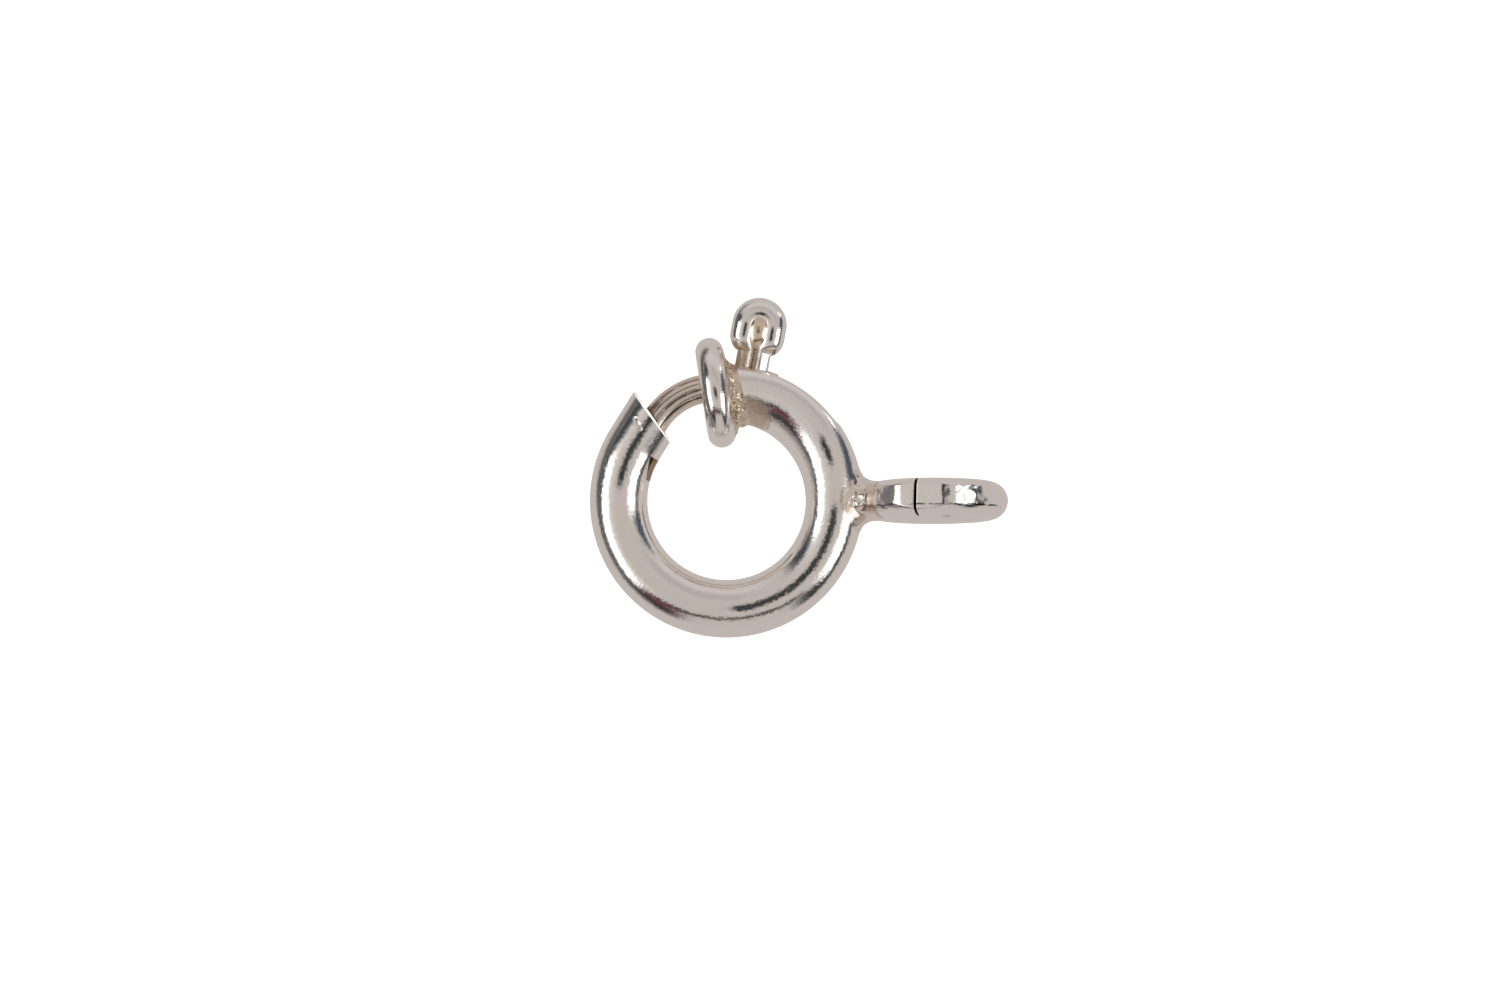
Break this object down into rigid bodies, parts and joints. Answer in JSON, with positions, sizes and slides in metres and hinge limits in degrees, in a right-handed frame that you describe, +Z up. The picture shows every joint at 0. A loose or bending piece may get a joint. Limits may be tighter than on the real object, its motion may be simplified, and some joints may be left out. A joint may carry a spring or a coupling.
{
  "type": "bolt ring clasp with closed jump ring",
  "caption": "Hollow ring clasp whose sprung bolt slides back with a looped trigger, with a heavy jump ring soldered edge-on to its side.",
  "frame": {"origin": "on the surface that the clasp rests on, below the middle of its box", "axes": "+Z up from that surface, +X from the ring's centre towards the jump ring, +Y towards the trigger"},
  "size_m": [0.0136, 0.0112, 0.0048],
  "materials": {
    "polished_silver": "polished, with grainy warm solder at the joints",
    "drawn_silver": "drawn wire with fine lengthwise lines and a warm tarnish",
    "trigger_silver": "polished, with tarnish in the crease",
    "spring_steel": "plain drawn wire"
  },
  "bodies": {
    "ring": {"clasp_ring": "polished_silver", "spring": "spring_steel"},
    "bolt": {"bolt": "drawn_silver", "trigger": "trigger_silver"}
  },
  "joints": [
    {"name": "bolt_draw", "type": "hinge", "parent": "ring", "child": "bolt", "pos_m": [-0.00237, -0.00109, 0.00152], "axis": [0.1317, 0.0938, -0.9868], "range_deg": [0, 38], "stiffness_Nm_per_rad": 0.002, "springref_deg": -17.19, "deforming": ["spring"]}
  ]
}
